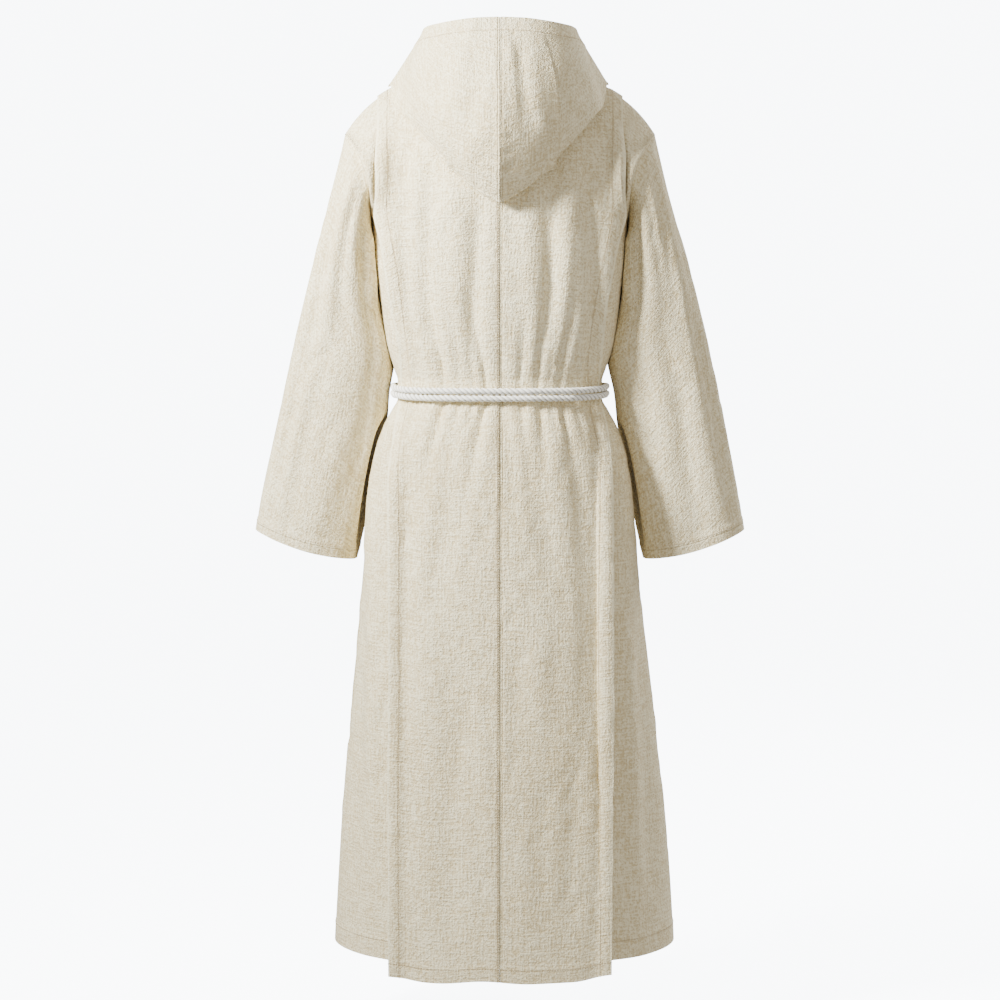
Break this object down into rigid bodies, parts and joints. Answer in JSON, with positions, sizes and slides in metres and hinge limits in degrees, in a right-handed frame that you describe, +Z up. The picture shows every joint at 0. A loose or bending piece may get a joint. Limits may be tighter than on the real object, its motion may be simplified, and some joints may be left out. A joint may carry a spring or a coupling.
{
  "type": "religious habit",
  "caption": "Worn-shape linen religious habit: long tunic with wide sleeves, hooded scapular over it and a doubled rope belt",
  "frame": {"origin": "the middle of the neck hole, level with the neck ends of the shoulder seams, where the wearer holds the habit up", "axes": "+Z up, the wearer faces -Y, the back with the hood faces +Y, +X is the wearer's left"},
  "size_m": [0.7856, 0.4006, 1.4938],
  "materials": {
    "linen": "matt, slubby plain weave",
    "rope": "matt, twisted cotton"
  },
  "bodies": {
    "root": {"tunic_back": "linen", "tunic_front": "linen", "sleeve_left": "linen", "sleeve_right": "linen", "scapular_back_left": "linen", "scapular_back_right": "linen", "scapular_front": "linen", "hood_left": "linen", "hood_right": "linen", "belt_knot": "rope", "belt_upper": "rope", "belt_lower": "rope", "belt_end_left": "rope", "belt_end_right": "rope"}
  },
  "joints": []
}
